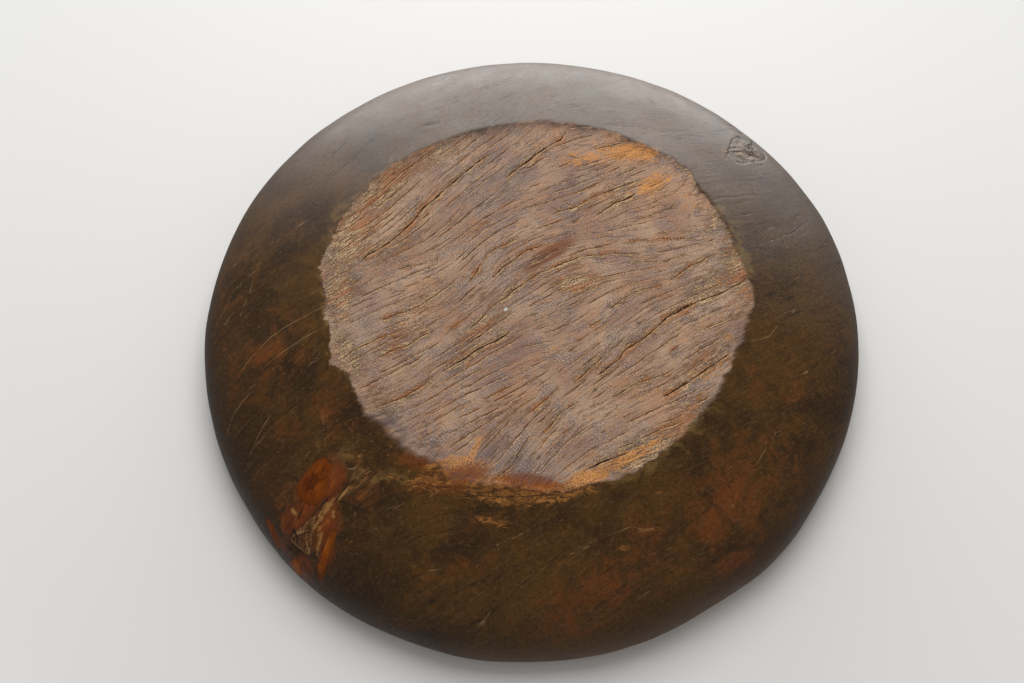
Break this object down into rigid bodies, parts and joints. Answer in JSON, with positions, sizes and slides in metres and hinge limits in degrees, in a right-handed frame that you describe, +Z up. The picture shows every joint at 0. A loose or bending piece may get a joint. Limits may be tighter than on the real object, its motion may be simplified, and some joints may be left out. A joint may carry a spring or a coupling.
{
  "type": "dough bowl",
  "caption": "Wide, shallow dough bowl dug out of one block of hardwood, with a flat base, a flared wall, a rounded lip and dead knots seated in its wall.",
  "frame": {"origin": "centre of the flat base's underside", "axes": "+Z up along the bowl's axis, from the base to the open rim; +X towards the amber side knot"},
  "size_m": [0.6, 0.6, 0.105],
  "materials": {
    "patinated_hardwood": "dark handled patina on the wall, bare weathered wood with checks on the base",
    "end_grain_knot": "dry fibrous end grain",
    "amber_knot": "smooth resin-rich knot wood",
    "bark": "dry, rough bark remains",
    "grey_knot": "weathered grey knot wood"
  },
  "bodies": {
    "root": {"bowl_body": "patinated_hardwood", "side_knot_core": "end_grain_knot", "side_knot_upper_lobe": "amber_knot", "side_knot_right_lobe": "amber_knot", "side_knot_rim_lobe": "amber_knot", "side_knot_left_lobe": "amber_knot", "side_knot_bark_seam": "bark", "rim_knot_eye": "grey_knot", "rim_knot_bark_collar": "bark"}
  },
  "joints": []
}
